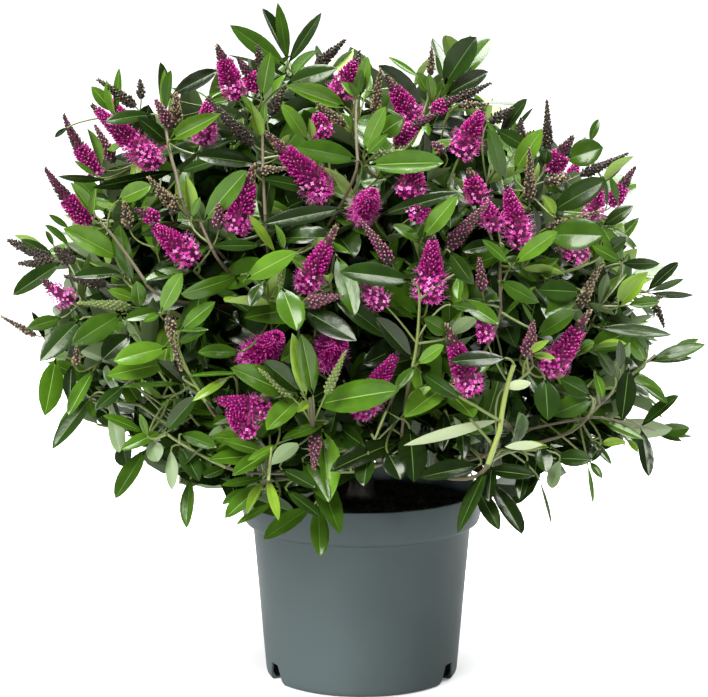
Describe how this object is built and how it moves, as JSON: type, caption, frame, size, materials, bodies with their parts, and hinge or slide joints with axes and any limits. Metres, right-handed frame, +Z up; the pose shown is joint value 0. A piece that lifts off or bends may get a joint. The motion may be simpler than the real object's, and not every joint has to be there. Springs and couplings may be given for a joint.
{
  "type": "potted flowering hebe shrub",
  "caption": "Rounded evergreen hebe shrub in flower, on a short trunk with boughs and foliage masses, standing in a round tapered nursery pot.",
  "frame": {"origin": "centre of the pot's flat underside", "axes": "+Z up the pot and the plant, -Y towards the front, +X to the right seen from the front"},
  "size_m": [0.6729, 0.6269, 0.6451],
  "materials": {
    "pot": "satin",
    "soil": "matte",
    "bark": "matte",
    "foliage": "satin",
    "blossom": "matte"
  },
  "bodies": {
    "root": {"pot": "pot", "soil": "soil", "trunk": "bark", "bough_top": "bark", "bough_upper_1": "bark", "bough_upper_2": "bark", "bough_upper_3": "bark", "bough_upper_4": "bark", "bough_upper_5": "bark", "bough_lower_1": "bark", "bough_lower_2": "bark", "bough_lower_3": "bark", "bough_lower_4": "bark", "bough_lower_5": "bark", "bough_lower_6": "bark", "bough_lower_7": "bark", "foliage_top": "foliage", "foliage_upper_1": "foliage", "foliage_upper_2": "foliage", "foliage_upper_3": "foliage", "foliage_upper_4": "foliage", "foliage_upper_5": "foliage", "foliage_lower_1": "foliage", "foliage_lower_2": "foliage", "foliage_lower_3": "foliage", "foliage_lower_4": "foliage", "foliage_lower_5": "foliage", "foliage_lower_6": "foliage", "foliage_lower_7": "foliage"}
  },
  "joints": []
}
